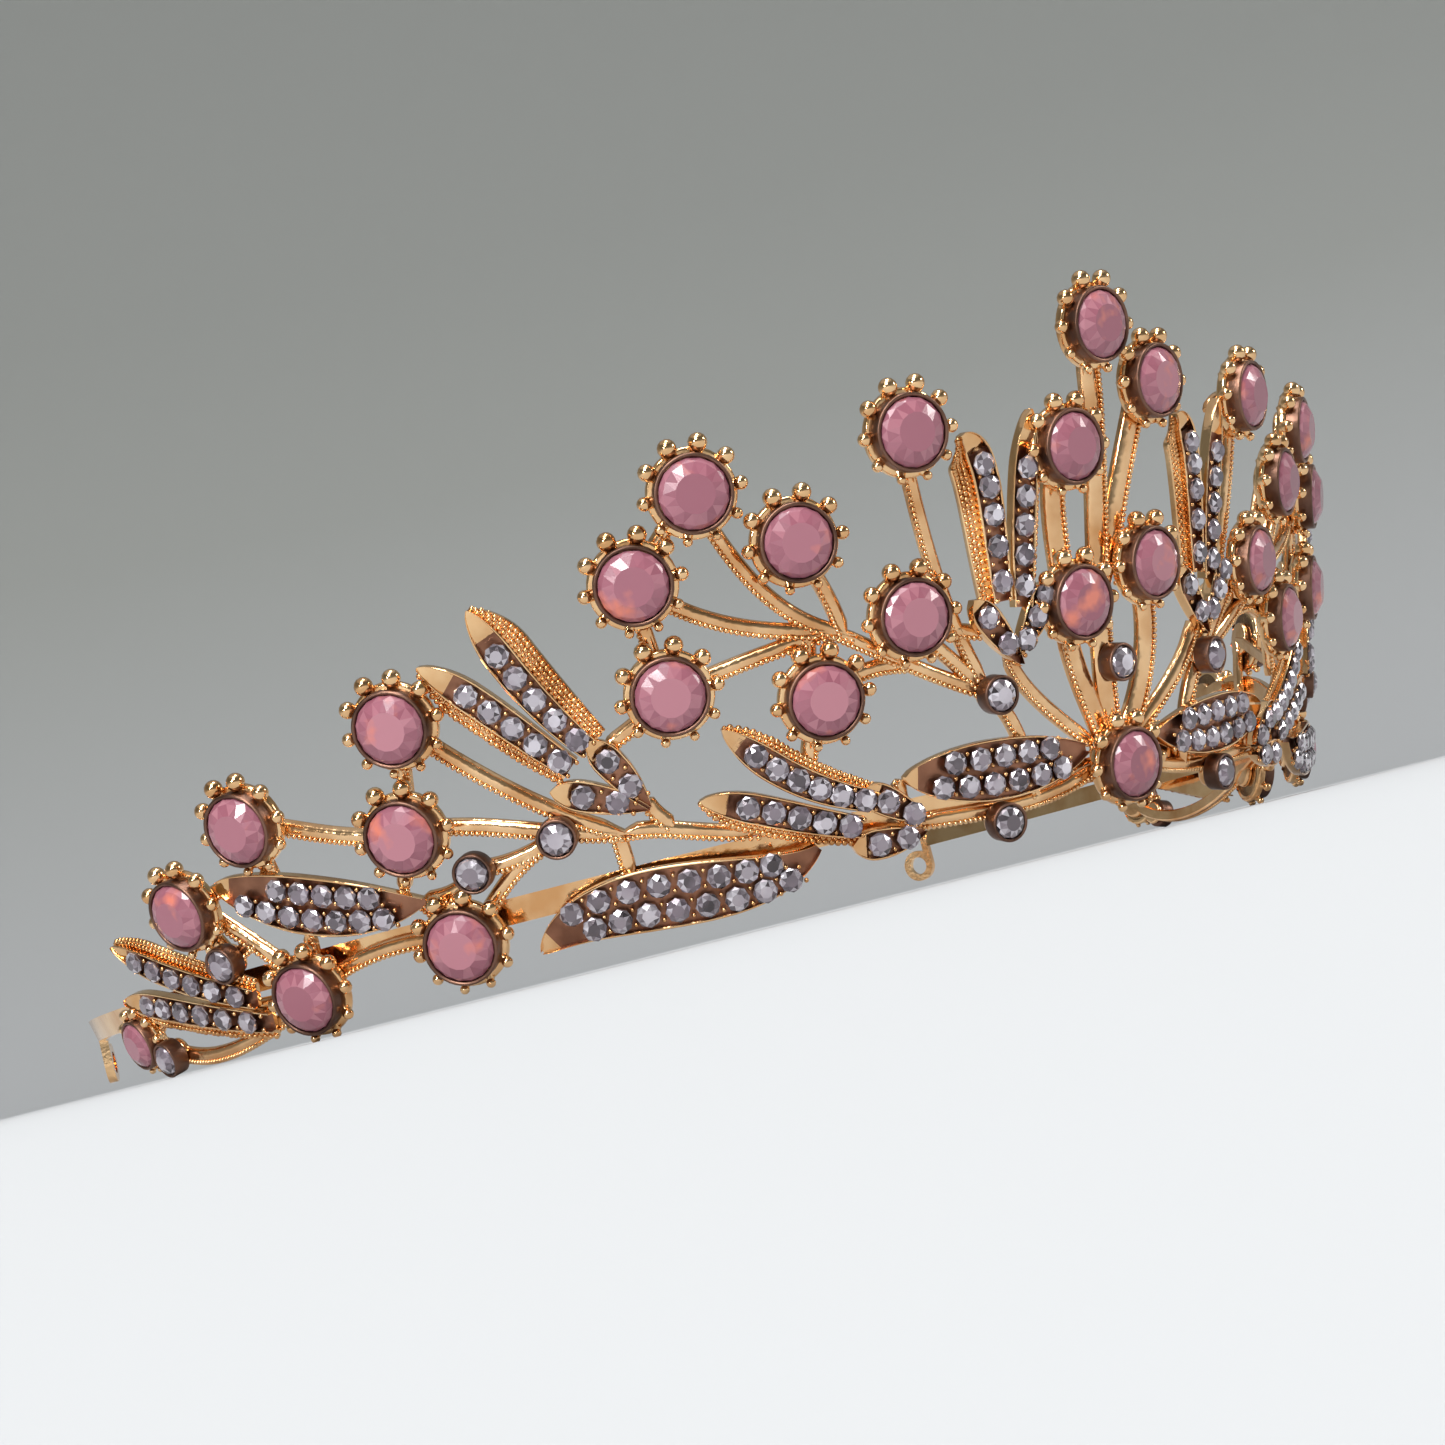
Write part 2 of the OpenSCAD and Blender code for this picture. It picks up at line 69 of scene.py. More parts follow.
MM = 0.001
BASE_R, FLARE = 74.0, 0.256
LEAN = math.atan(FLARE)
STONE_D, TIP_STONE_D, SMALL_D, PAVE_D = 6.4, 4.8, 3.1, 2.2
CUP_H, CUP_WALL, SMALL_H = 2.4, 0.4, 1.7
STEM_T, STEM_W, MAIN_STEM_W, GAP = 1.1, 1.5, 2.4, 0.03
LEAF_H, LEAF_SEAT, LEAF_WALL, FLANGE_H = 1.1, 0.45, 0.25, 0.4
BLADE_HALF, TRAY_HALF, TRAY_ROW = 1.45, 2.9, 1.25
BAND_Z = 2.0
DISH_R, DISH_H = 4.15, 1.0
SMALL_WALL = 0.3
PRONGS, BALL_R, BALL_REACH, BALL_H = 10, 0.68, 4.12, 1.25
STALK_R, STALK_ROOT_R, STALK_ROOT_H, STALK_TOP_H = 3.4, 0.8, 0.5, 1.2
PAD_R, PAD_T, PAD_Z = 2.2, 0.8, -0.42
MILGRAIN_R, MILGRAIN_PITCH = 0.27, 0.52
GRAIN_R, GRAIN_GROWTH, GRAIN_PITCH = 0.24, 0.08, 0.58
CLAW_R, CLAW_ASIDE = 0.24, 0.72
band_low, band_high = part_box("base_band")
LIFT = band_low[2] / MM - BAND_Z
ARC_Y = (band_low[1] + band_high[0]) / MM
print(f"base line at z = {LIFT:.2f} mm, middle of the arc at y = {ARC_Y:.2f} mm")

# %% [markdown]
# ## The design
# A place is [angle from the front in degrees, height above the base line in mm], drawn for the wearer's
# one side and mirrored to the other. Stems and leaves are Bezier curves through such places.

# %% Stones, stems and leaves
CENTRE = [[0, 3.2], [0, 44], [-3.6, 19], [-3.2, 33.2], [3.6, 21.6], [5.2, 38.6]]
CENTRE_SMALL = [[0, 12.8]]
END = [[51.5, 22], [53.3, 12.4], [65, 17.3], [51.8, 1.6], [73.5, 11.4], [65.2, 0.6]]
END_TIP = [86.7, 0.4]
SMALL = [[11, 12], [11.6, 0.4], [43.2, 8.7], [49.5, 7.6], [72, 5.6], [83.6, -1.8]]
TWIN_ANGLE, SPRIG_ROOT = 19.5, 9.2


def spray(side):
    out, half = ((2, 0.8), (1, 0.4)) if side == "right" else ((0, 0), (0, 0))
    return [[15.2 + out[0], 36.5 + out[1]], [16.8 + half[0], 20.5 + half[1]], [23.7, 29], [29.4, 35],
            [34.2, 28.5], [33.6, 18.5], [23.8, 15]]


def moved(place, dt, dz):
    return [place[0] + dt, place[1] + dz]


STEMS_MAIN = [
    [CENTRE[1], [1.4, 33], [-1.6, 18], [0, 4]],
    [CENTRE[3], [-4.4, 29], [-3.9, 24], CENTRE[2]],
    [CENTRE[2], [-4.2, 14], [-1.8, 9], [-0.6, 4.5]],
    [CENTRE[5], [4, 34], [1.5, 27], [0.4, 20]],
    [CENTRE[4], [5.6, 15], [3.4, 9], [0.6, 4.5]],
]


def spray_stems(side):
    p = spray(side)
    f = TWIN_ANGLE - SPRIG_ROOT if side == "right" else SPRIG_ROOT
    return [
        [p[0], moved(p[0], -0.6, -9.5), [14, 20], SMALL[0]],
        [p[3], [28, 29], [26, 22], [20.5, 19.8]],
        [p[4], [31, 24], [28, 22], [22, 20.5]],
        [p[5], [30, 19.2], [27, 20], [22, 20.5]],
        [p[2], [22, 25], [21.6, 22.5], [21.2, 20]],
        [[22, 20.5], [18.5, 17.5], [16, 15], SMALL[0]],
        [p[6], [21, 16.5], [19.5, 16.8], [17.2, 16.2]],
        [p[6], [24.2, 18], [23.6, 20.6]],
        [p[1], [15.4, 18], [13.6, 15.8], [11.8, 13]],
        [p[1], [17.6, 18.5], [17.8, 16.6]],
        [[13.2, 18.4], [12.4, 18], [f + 1.4, 17.6]],
        [SMALL[0], [9, 9.5], [8.2, 5], [8, 1.6]],
        [[f, 15.4], [f - 0.7, 12], [6, 9], [1.7, 5]],
        [[1.7, 3.6], [7, 0.6], [12, 1.5], [18.6, 2]],
        [[11.5, 1.8], SMALL[1]],
        [p[3], [31.8, 32], p[4]],
        [p[4], [34.4, 24], p[5]],
        [p[5], [36, 16.4], [38.6, 15.2]],
        [p[6], [25, 11.6], [25.4, 9]],
        [p[0], moved(p[0], -1.6, 0.2), moved(p[0], -3.2, -1.4)],
        [[19, 6.2], [19.4, 4], [18.4, 2]],
        [[1.7, 5.4], [1.8, 4.4], [1.7, 3.4]],
    ]


STEMS_END = [
    [END[0], [48, 16], [43, 10], [38.8, 7.4]],
    [END[2], [60, 14.5], [57, 12.6], END[1]],
    [END[1], [48, 12], [44, 8.5], [38.8, 7.4]],
    [[38.8, 7.4], [36, 7.4], [34, 5.5], [29.5, 4.6]],
    [SMALL[3], [46.5, 7], SMALL[2]],
    [END[3], [48.8, 4.4], [47.5, 7], [43.5, 8.4]],
    [[54.2, 6.2], [51.6, 5.4], SMALL[3]],
    [END[3], [53, 4], [54.2, 6]],
    [END[3], [56, 3.6], [62, 2.6], END[5]],
    [END[1], [54.6, 9.5], [55.4, 7.5]],
    [END[0], [52.6, 17.2], END[1]],
    [END[2], [65.6, 13], [65, 10.5]],
    [END[4], [71, 12.6], [68.5, 12]],
    [END[4], [70.6, 8.4], [67.4, 3.8], END[5]],
    [[64.2, 6], [64.8, 3], END[5]],
    [[39.3, 7.6], [39.2, 6], [39.2, 3.6]],
    [END_TIP, [82, -4.6], [74, -3.6], END[5]],
    [[72.5, 0.6], [69, 0.2], END[5]],
    [END_TIP, [84, 2.4], [80, 3]],
    [END[4], [73.6, 8.5], SMALL[4]],
    [SMALL[4], [70, 6.4], [69.4, 6.8]],
    [[36.8, 9.9], [36.6, 8.5], [35.4, 7]],
]
# Each leaf is a list of blades: kind, curve from tip to root, flange width, rows of stones.
LEAVES = {
    "upper_sprig": [
        ["blade", [[44.6, 30], [43.6, 25], [42, 20.1], [39.5, 15.6]], -1.7, [[5, 0.30, 0.92, 0]]],
        ["blade", [[48.8, 26.4], [45.6, 22.5], [43.8, 18.5], [41, 14.4]], 1.2, [[5, 0.30, 0.93, 0]]],
        ["bud", [[39.5, 16.3], [38, 13.1], [36.6, 9.2]], 0, [[2, 0.32, 0.68, 0]]],
        ["bud", [[42.8, 12.8], [39.8, 11.2], [36.6, 9.2]], 0, [[2, 0.34, 0.68, 0]]]],
    "lower_sprig": [
        ["blade", [[30.8, 14.4], [28, 9.5], [25.5, 7], [21.6, 5.1]], -0.8, [[6, 0.22, 0.95, 0]]],
        ["blade", [[33.3, 8.7], [29.5, 7], [26.5, 4.6], [22.6, 3]], 0.8, [[5, 0.28, 0.92, 0]]],
        ["bud", [[22.2, 6.2], [20.4, 4.7], [17.8, 2.2]], 0, [[2, 0.42, 0.80, 0]]],
        ["bud", [[23.6, 1.5], [21, 0.8], [18, 1.4]], 0, [[2, 0.36, 0.74, 0]]]],
    "long_leaf": [
        ["tray", [[46.6, -1], [41, 4.5], [31, -2.2], [26, 2.2]], 0,
         [[8, 0.21, 0.85, 1], [8, 0.165, 0.805, -1]]]],
    "front_leaf": [
        ["tray", [[19, 6.4], [14, 5.2], [8, 4.8], [3.6, 5.4]], 0, [[6, 0.18, 0.80, 1], [5, 0.24, 0.74, -1]]]],
    "end_leaf": [
        ["tray", [[69.8, 13], [65, 9.5], [59, 6.5], [53.7, 6.2]], 0,
         [[7, 0.17, 0.81, 1], [5, 0.33, 0.76, -1]]]],
    "upright_sprig": [
        ["blade", [[11.4, 35.4], [9.4, 34.5], [9.8, 28], [9.7, 20.2]], 1.8, [[5, 0.34, 0.92, 0]]],
        ["blade", [[5.8, 37], [7, 31], [7.5, 26], [8.1, 19.4]], -0.6, [[5, 0.30, 0.90, 0]]],
        ["bud", [[12, 20.8], [10.6, 18], [8.7, 14.2]], 0, [[2, 0.30, 0.70, 0]]],
        ["bud", [[5.8, 21.4], [6.8, 18.4], [9.1, 15.2]], 0, [[3, 0.20, 0.80, 0]]]],
    "end_sprig": [
        ["blade", [[84.5, 10.5], [80, 6.5], [76, 4.2], [70.6, 1.6]], -1.2, [[6, 0.20, 0.90, 0]]],
        ["blade", [[86.6, 4.8], [82, 4], [77, 1.2], [70, -1]], 1.0, [[6, 0.26, 0.90, 0]]]],
}
print(len(LEAVES), "leaves a side,", len(spray("left")) + len(END) + 1, "large stones a side")

# %% [markdown]
# ## The leaning surface
# Everything is seated on a cone that widens upwards. These helpers turn a drawn place into a point on it.

# %% Points on the surface
def radius_at(z):
    return BASE_R + FLARE * z


def seat(t, z, along=0.0, up=0.0, out=0.0):
    """The point at a place, moved along and up the surface and out of it, in mm."""
    high = z + up * math.cos(LEAN)
    r = BASE_R + FLARE * high + out * math.cos(LEAN)
    a = math.radians(t) + along / radius_at(z)
    return (r * math.sin(a), ARC_Y - r * math.cos(a), LIFT + high - out * math.sin(LEAN))


def place_matrix(t, z, along=0.0, up=0.0, scale=1.0, out=0.0):
    """Stands a piece that was made flat on XY, in mm, on the surface, in metres."""
    a = math.radians(t) + along / radius_at(z)
    face = Vector((math.sin(a) * math.cos(LEAN), -math.cos(a) * math.cos(LEAN), -math.sin(LEAN)))
    right = Vector((math.cos(a), math.sin(a), 0))
    rise = face.cross(right)
    turn = Matrix((right, rise, face)).transposed().to_4x4()
    return Matrix.Translation(Vector(seat(t, z, along, up, out)) * MM) @ turn @ Matrix.Scale(MM * scale, 4)


def curve_at(path, u):
    points = [Vector(p) for p in path]
    while len(points) > 1:
        points = [a.lerp(b, u) for a, b in zip(points, points[1:])]
    return points[0]


def across_at(path, u):
    """Unit step sideways of a curve, in mm along and up the surface."""
    a, b = curve_at(path, max(0, u - 0.005)), curve_at(path, min(1, u + 0.005))
    z = (a[1] + b[1]) / 2
    v = Vector(((b[0] - a[0]) * math.radians(radius_at(z)), (b[1] - a[1]) / math.cos(LEAN)))
    v.normalize()
    return Vector((-v[1], v[0]))


def beside(path, u, aside, out):
    q, n = curve_at(path, u), across_at(path, u)
    return seat(q[0], q[1], n[0] * aside, n[1] * aside, out)


def length_of(path):
    points = [Vector(beside(path, i / 20, 0, 0)) for i in range(21)]
    return sum((a - b).length for a, b in zip(points, points[1:]))


# %% [markdown]
# ## Materials
# The casting is polished rose gold, with a painted shade of dark brown in the hollows of its leaves and on
# its cup walls. Tiny waves in the polish break up the reflections, and a slow change of colour stands for
# uneven plating.

# %% Node helpers
def new_material(name):
    material = bpy.data.materials.new(name)
    material.use_nodes = True
    nodes, links = material.node_tree.nodes, material.node_tree.links
    shader = nodes["Principled BSDF"]
    where = nodes.new("ShaderNodeTexCoord")
    return material, nodes, links, shader, where


def noise_node(nodes, links, where, scale, detail=3.0):
    noise = nodes.new("ShaderNodeTexNoise")
    noise.inputs["Scale"].default_value = scale
    noise.inputs["Detail"].default_value = detail
    links.new(where.outputs["Object"], noise.inputs["Vector"])
    return noise


def ramp_node(nodes, links, source, stops):
    ramp = nodes.new("ShaderNodeValToRGB")
    while len(ramp.color_ramp.elements) < len(stops):
        ramp.color_ramp.elements.new(0.5)
    for element, (position, colour) in zip(ramp.color_ramp.elements, stops):
        element.position = position
        element.color = (*colour, 1)
    links.new(source, ramp.inputs["Fac"])
    return ramp


def bump_from(nodes, links, shader, source, height, strength):
    bump = nodes.new("ShaderNodeBump")
    bump.inputs["Distance"].default_value = height
    bump.inputs["Strength"].default_value = strength
    links.new(source, bump.inputs["Height"])
    links.new(bump.outputs["Normal"], shader.inputs["Normal"])


# %% Rose gold
def gold_material(name, dark, light, rough, wave, wave_scale=1400):
    """dark and light colour the plating, rough is a range and wave the ripples' height in metres."""
    material, nodes, links, shader, where = new_material(name)
    shader.inputs["Metallic"].default_value = 1.0
    plating = noise_node(nodes, links, where, 220)
    colour = ramp_node(nodes, links, plating.outputs["Fac"], [(0.3, dark), (0.62, light)])
    links.new(colour.outputs["Color"], shader.inputs["Base Color"])
    polish = noise_node(nodes, links, where, 900)
    spread = nodes.new("ShaderNodeMapRange")
    spread.inputs["To Min"].default_value, spread.inputs["To Max"].default_value = rough
    links.new(polish.outputs["Fac"], spread.inputs["Value"])
    links.new(spread.outputs["Result"], shader.inputs["Roughness"])
    ripples = noise_node(nodes, links, where, wave_scale, 2.0)
    bump_from(nodes, links, shader, ripples.outputs["Fac"], wave, 0.5)
    return material


rose_gold = gold_material("rose_gold_polished", (0.74, 0.40, 0.17), (0.97, 0.64, 0.34), (0.06, 0.20),
                          0.06 * MM)
stem_gold = gold_material("rose_gold_stems", (0.70, 0.36, 0.15), (0.97, 0.63, 0.34), (0.08, 0.24),
                          0.2 * MM, 750)
cast_gold = gold_material("rose_gold_as_cast", (0.56, 0.26, 0.09), (0.92, 0.54, 0.25), (0.14, 0.30),
                          0.12 * MM)
# painted shade: the cup and bezel tubes are coloured dark brown for the shade that falls on their walls
shaded_gold = gold_material("rose_gold_painted_shade", (0.10, 0.055, 0.04), (0.24, 0.13, 0.09), (0.30, 0.50),
                            0.08 * MM)
# painted shade: the hollows of the leaves are coloured dark brown for the shade that falls in them
hollow_shade_gold = gold_material("rose_gold_painted_hollow_shade", (0.20, 0.09, 0.055), (0.42, 0.20, 0.12), (0.25, 0.45),
                            0.1 * MM)
for finish in (rose_gold, stem_gold, cast_gold, shaded_gold, hollow_shade_gold):
    print("gold finish:", finish.name)

# %% [markdown]
# The large stones are opal resin: milky pink, with a flash of orange deep inside. A value kept for each
# facet makes some facets paler than others, a painted reflection of the cut. The small stones are clear with
# a foiled back, and their facets are painted bright or dark as painted reflections of the foil.

# %% Stones
def stone_material(name, stops, flash, metallic, rough, coat, edges):
    material, nodes, links, shader, where = new_material(name)
    # the facet value picks a painted reflection for each facet, from darker to paler
    facet = nodes.new("ShaderNodeAttribute")
    facet.attribute_name = "facet"
    tone = ramp_node(nodes, links, facet.outputs["Fac"], stops)
    cloud = noise_node(nodes, links, where, 260)
    mask = ramp_node(nodes, links, cloud.outputs["Fac"], [(edges[0], (0, 0, 0)), (edges[1], (1, 1, 1))])
    mix = nodes.new("ShaderNodeMix")
    mix.data_type = "RGBA"
    links.new(mask.outputs["Color"], mix.inputs["Factor"])
    links.new(tone.outputs["Color"], mix.inputs["A"])
    mix.inputs["B"].default_value = (*flash, 1)
    links.new(mix.outputs["Result"], shader.inputs["Base Color"])
    shader.inputs["Metallic"].default_value = metallic
    shader.inputs["Roughness"].default_value = rough
    shader.inputs["Coat Weight"].default_value = coat
    shader.inputs["Coat Roughness"].default_value = 0.03
    shader.inputs["IOR"].default_value = 1.55
    return material


OPAL_PINK_WITH_PAINTED_FACET_REFLECTIONS = [(0.0, (0.29, 0.095, 0.13)), (0.5, (0.34, 0.12, 0.16)), (1.0, (0.44, 0.18, 0.22))]
CRYSTAL_PAINTED_FACET_REFLECTIONS = [(0.0, (0.05, 0.04, 0.045)), (0.45, (0.26, 0.22, 0.25)), (1.0, (0.78, 0.74, 0.80))]
opal = stone_material("pink_opal", OPAL_PINK_WITH_PAINTED_FACET_REFLECTIONS, (0.68, 0.20, 0.14), 0.0, 0.24, 0.3, (0.58, 0.72))
crystal = stone_material("clear_crystal", CRYSTAL_PAINTED_FACET_REFLECTIONS, (0.30, 0.24, 0.29), 0.55, 0.08, 0.8, (0.5, 0.8))
for stone_kind in (opal, crystal):
    print("stone finish:", stone_kind.name)

# %% [markdown]
# ## Working by hand
# An operator acts on what is selected, so each step first deselects everything, then picks by place.

# %% Modelling helpers
def nothing_selected():
    if bpy.context.mode != "OBJECT":
        bpy.ops.object.mode_set(mode="OBJECT")
    bpy.ops.object.select_all(action="DESELECT")


def work_on(piece):
    nothing_selected()
    piece.select_set(True)
    bpy.context.view_layer.objects.active = piece


def pick_faces(piece, wanted):
    """Selects the faces whose centre and normal pass a test, and goes into edit mode."""
    work_on(piece)
    bpy.ops.object.mode_set(mode="EDIT")
    bpy.ops.mesh.select_mode(type="FACE")
    bpy.ops.mesh.select_all(action="DESELECT")
    bpy.ops.object.mode_set(mode="OBJECT")
    for face in piece.data.polygons:
        face.select = wanted(face.center, face.normal)
    bpy.ops.object.mode_set(mode="EDIT")


def draw_out(rise, narrow, turn=0.0):
    """Extrudes the picked end face, narrows it and turns it about the upright axis."""
    bpy.ops.mesh.extrude_region_move(TRANSFORM_OT_translate={"value": (0, 0, rise)})
    bpy.ops.transform.resize(value=(narrow, narrow, 1), center_override=(0, 0, 0))
    if turn:
        bpy.ops.transform.rotate(value=turn, orient_axis="Z", center_override=(0, 0, 0))


def apply_modifier(piece, kind, **settings):
    work_on(piece)
    modifier = piece.modifiers.new(kind.lower(), kind)
    for key, value in settings.items():
        setattr(modifier, key, value)
    bpy.ops.object.modifier_apply(modifier=modifier.name)


def face_outwards(piece, angle):
    """Turns every face outwards and smooths across edges flatter than the angle in degrees."""
    work_on(piece)
    bpy.ops.object.mode_set(mode="EDIT")
    bpy.ops.mesh.select_all(action="SELECT")
    bpy.ops.mesh.normals_make_consistent(inside=False)
    bpy.ops.object.mode_set(mode="OBJECT")
    bpy.ops.object.shade_smooth_by_angle(angle=math.radians(angle))


def join_all(parts, name):
    nothing_selected()
    for part in parts:
        part.select_set(True)
    bpy.context.view_layer.objects.active = parts[0]
    bpy.ops.object.join()
    parts[0].name = name
    return parts[0]


def pattern_of(piece):
    """Takes a finished pattern piece off the scene and keeps its points and faces."""
    mesh = piece.data
    points = np.array([v.co for v in mesh.vertices])
    faces = [list(p.vertices) for p in mesh.polygons]
    marks = [(p.use_smooth, p.material_index) for p in mesh.polygons]
    bpy.data.objects.remove(piece)
    return points, faces, marks


random.seed(7)


def build(name, points, faces, marks, finishes, node, slot, side="right", facets=False):
    """Makes one finished piece from points in metres. A mark is (smooth, number of the finish)."""
    if side == "left":
        points = [(-p[0], p[1], p[2]) for p in points]
        faces = [f[::-1] for f in faces]
    mesh = bpy.data.meshes.new(name)
    mesh.from_pydata([tuple(p) for p in points], [], faces)
    for finish in finishes:
        mesh.materials.append(finish)
    mesh.polygons.foreach_set("use_smooth", [mark[0] for mark in marks])
    mesh.polygons.foreach_set("material_index", [mark[1] for mark in marks])
    # a random value for each face, which the stone finishes turn into painted facet reflections
    if facets:
        tone = mesh.attributes.new("facet", "FLOAT", "FACE")
        tone.data.foreach_set("value", [random.random() for _ in faces])
    mesh.update()
    piece = bpy.data.objects.new(name, mesh)
    bpy.context.collection.objects.link(piece)
    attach(piece, "root")
    if node:
        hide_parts(node)
    return piece


def copies_of(pattern, matrices):
    """Copies a pattern to every place and gives the points and faces of all the copies."""
    base, base_faces, base_marks = pattern
    points, faces, marks = [], [], []
    for matrix in matrices:
        m = np.array(matrix)
        start = len(points)
        points += (base @ m[:3, :3].T + m[:3, 3]).tolist()
        faces += [[start + v for v in f] for f in base_faces]
        marks += base_marks
    return points, faces, marks


# %% [markdown]
# ## Cut stones
# A round stone is a short cylinder. Its top is drawn out twice into two rows of crown facets and a
# flat table, and its bottom is drawn out to the culet.

# %% Cut a stone
def cut_stone(d, seat_h, girdle_h, crown_h, sides, table=0.56):
    nothing_selected()
    bpy.ops.mesh.primitive_cylinder_add(vertices=sides, radius=d / 2, depth=girdle_h,
                                        location=(0, 0, seat_h + girdle_h / 2))
    stone = bpy.context.object
    bpy.ops.object.transform_apply(location=True)
    half_turn = math.pi / sides
    pick_faces(stone, lambda c, n: n.z > 0.9)
    draw_out(0.45 * crown_h, 0.88, half_turn)
    draw_out(0.55 * crown_h, table / 0.88, half_turn)
    pick_faces(stone, lambda c, n: n.z < -0.9)
    draw_out(-0.6 * (seat_h - 0.3 * crown_h), 0.5, half_turn)
    pick_faces(stone, lambda c, n: abs(n.z) < 0.98)
    bpy.ops.mesh.quads_convert_to_tris(quad_method="FIXED", ngon_method="BEAUTY")
    bpy.ops.object.mode_set(mode="OBJECT")
    return pattern_of(stone)


large_cut = cut_stone(STONE_D, 1.85, 0.35, 0.95, 16)
small_cut = cut_stone(SMALL_D, 1.35, 0.2, 0.6, 12, 0.5)
pave_cut = cut_stone(1.06 * PAVE_D, 0.75, 0.15, 0.5, 8, 0.5)
print("facets of a large, a small and a leaf stone:", len(large_cut[1]), len(small_cut[1]), len(pave_cut[1]))

# %% [markdown]
# ## Clawed cups
# The cup is a plain tube with a rounded rim, coloured dark brown as a painted shade. Ten prongs stand out
# around it, each a short stalk with a ball at its end. The balls are largest at the top of the cup.

# %% Turn a cup
def cup_tube(d, wall, h):
    nothing_selected()
    bpy.ops.mesh.primitive_cylinder_add(vertices=40, radius=d / 2 + GAP + wall, depth=h,
                                        location=(0, 0, h / 2))
    tube = bpy.context.object
    bpy.ops.object.transform_apply(location=True)
    pick_faces(tube, lambda c, n: n.z > 0.9)
    bpy.ops.mesh.inset(thickness=wall)
    bpy.ops.mesh.extrude_region_move(TRANSFORM_OT_translate={"value": (0, 0, -0.7 * h)})
    bpy.ops.object.mode_set(mode="OBJECT")
    apply_modifier(tube, "BEVEL", width=0.45 * wall, segments=2, limit_method="ANGLE",
                   angle_limit=math.radians(50))
    bpy.ops.object.shade_smooth_by_angle(angle=math.radians(40))
    tube.data.materials.append(rose_gold)
    tube.data.materials.append(shaded_gold)
    # every face of the tube takes the dark finish, a painted shade
    for face in tube.data.polygons:
        face.material_index = 1
    return tube


def cup_dish(radius, h):
    """The low dish that the prongs grow from."""
    nothing_selected()
    bpy.ops.mesh.primitive_cylinder_add(vertices=40, radius=radius, depth=h, location=(0, 0, h / 2))
    dish = bpy.context.object
    bpy.ops.object.transform_apply(location=True)
    apply_modifier(dish, "BEVEL", width=0.3, segments=3, limit_method="ANGLE", angle_limit=math.radians(50))
    bpy.ops.object.shade_smooth_by_angle(angle=math.radians(40))
    dish.data.materials.append(rose_gold)
    return dish


def prong(angle, size, reach):
    """A stalk and a ball at one angle around a cup."""
    side, up = math.cos(angle), math.sin(angle)
    nothing_selected()
    bpy.ops.mesh.primitive_uv_sphere_add(segments=14, ring_count=9, radius=size,
                                         location=(reach * side, reach * up, BALL_H))
    ball = bpy.context.object
    bpy.ops.object.shade_smooth()
    nothing_selected()
    start = Vector((STALK_R * side, STALK_R * up, STALK_ROOT_H))
    end = Vector((reach * side, reach * up, STALK_TOP_H))
    bpy.ops.mesh.primitive_cone_add(vertices=8, radius1=STALK_ROOT_R, radius2=0.6 * size,
                                    depth=(end - start).length, end_fill_type="NOTHING",
                                    location=(start + end) / 2,
                                    rotation=(end - start).to_track_quat("Z", "Y").to_euler())
    stalk = bpy.context.object
    bpy.ops.object.shade_smooth()
    for part in (ball, stalk):
        part.data.materials.append(rose_gold)
    return [ball, stalk]


parts = [cup_dish(DISH_R, DISH_H), cup_tube(STONE_D, CUP_WALL, CUP_H)]
for i in range(PRONGS):
    turn_angle = 2 * math.pi * i / PRONGS
    growth = 1 + 0.34 * math.sin(turn_angle)
    parts += prong(turn_angle, BALL_R * growth, BALL_REACH + 0.3 * growth)
cup_piece = join_all(parts, "cup_pattern")
bpy.ops.object.transform_apply(location=True, rotation=True, scale=True)
large_cup = pattern_of(cup_piece)
small_tube = cup_tube(SMALL_D, SMALL_WALL, SMALL_H)
small_cup = pattern_of(small_tube)
print("faces of a large cup:", len(large_cup[1]))


# %% Seat the stones and cups
def signed(places, side):
    return [[-t if side == "left" else t, z] for t, z in places]


def seat_stones(group, places, tip=None):
    at = [place_matrix(t, z) for t, z in places]
    if tip:
        at.append(place_matrix(*tip, scale=TIP_STONE_D / STONE_D))
    build("opals_" + group, *copies_of(large_cut, at), [opal], "stones_" + group, "opal", facets=True)
    build("clawed_cups_" + group, *copies_of(large_cup, at), [rose_gold, shaded_gold], "cups_" + group,
          "rose_gold")


seat_stones("centre", CENTRE)
for side in ("left", "right"):
    seat_stones("spray_" + side, signed(spray(side), side))
    seat_stones("end_" + side, signed(END, side), signed([END_TIP], side)[0])
for group, places in (("centre", CENTRE_SMALL), ("left", signed(SMALL, "left")), ("right", SMALL)):
    at = [place_matrix(t, z) for t, z in places]
    build("crystals_" + group, *copies_of(small_cut, at), [crystal], "small_stones_" + group, "crystal",
          facets=True)
    build("bezels_" + group, *copies_of(small_cup, at), [rose_gold, shaded_gold], "small_cups_" + group,
          "rose_gold")
print("stones are seated")

# %% [markdown]
# ## Beads
# Milgrain is a row of tiny beads rolled along an edge. There are thousands, so a bead has few faces.

# %% Bead pattern
nothing_selected()
bpy.ops.mesh.primitive_uv_sphere_add(segments=7, ring_count=5, radius=1.0)
bpy.ops.object.shade_smooth()
bead = pattern_of(bpy.context.object)


def bead_matrix(point, size):
    return Matrix.Translation(Vector(point) * MM) @ Matrix.Scale(size * MM, 4)


# %% [markdown]
# ## Stems
# A stem is a flat strip with softened edges that follows a curve along the surface. Its section is drawn
# once and carried along the curve, and beads run along its lower edge.

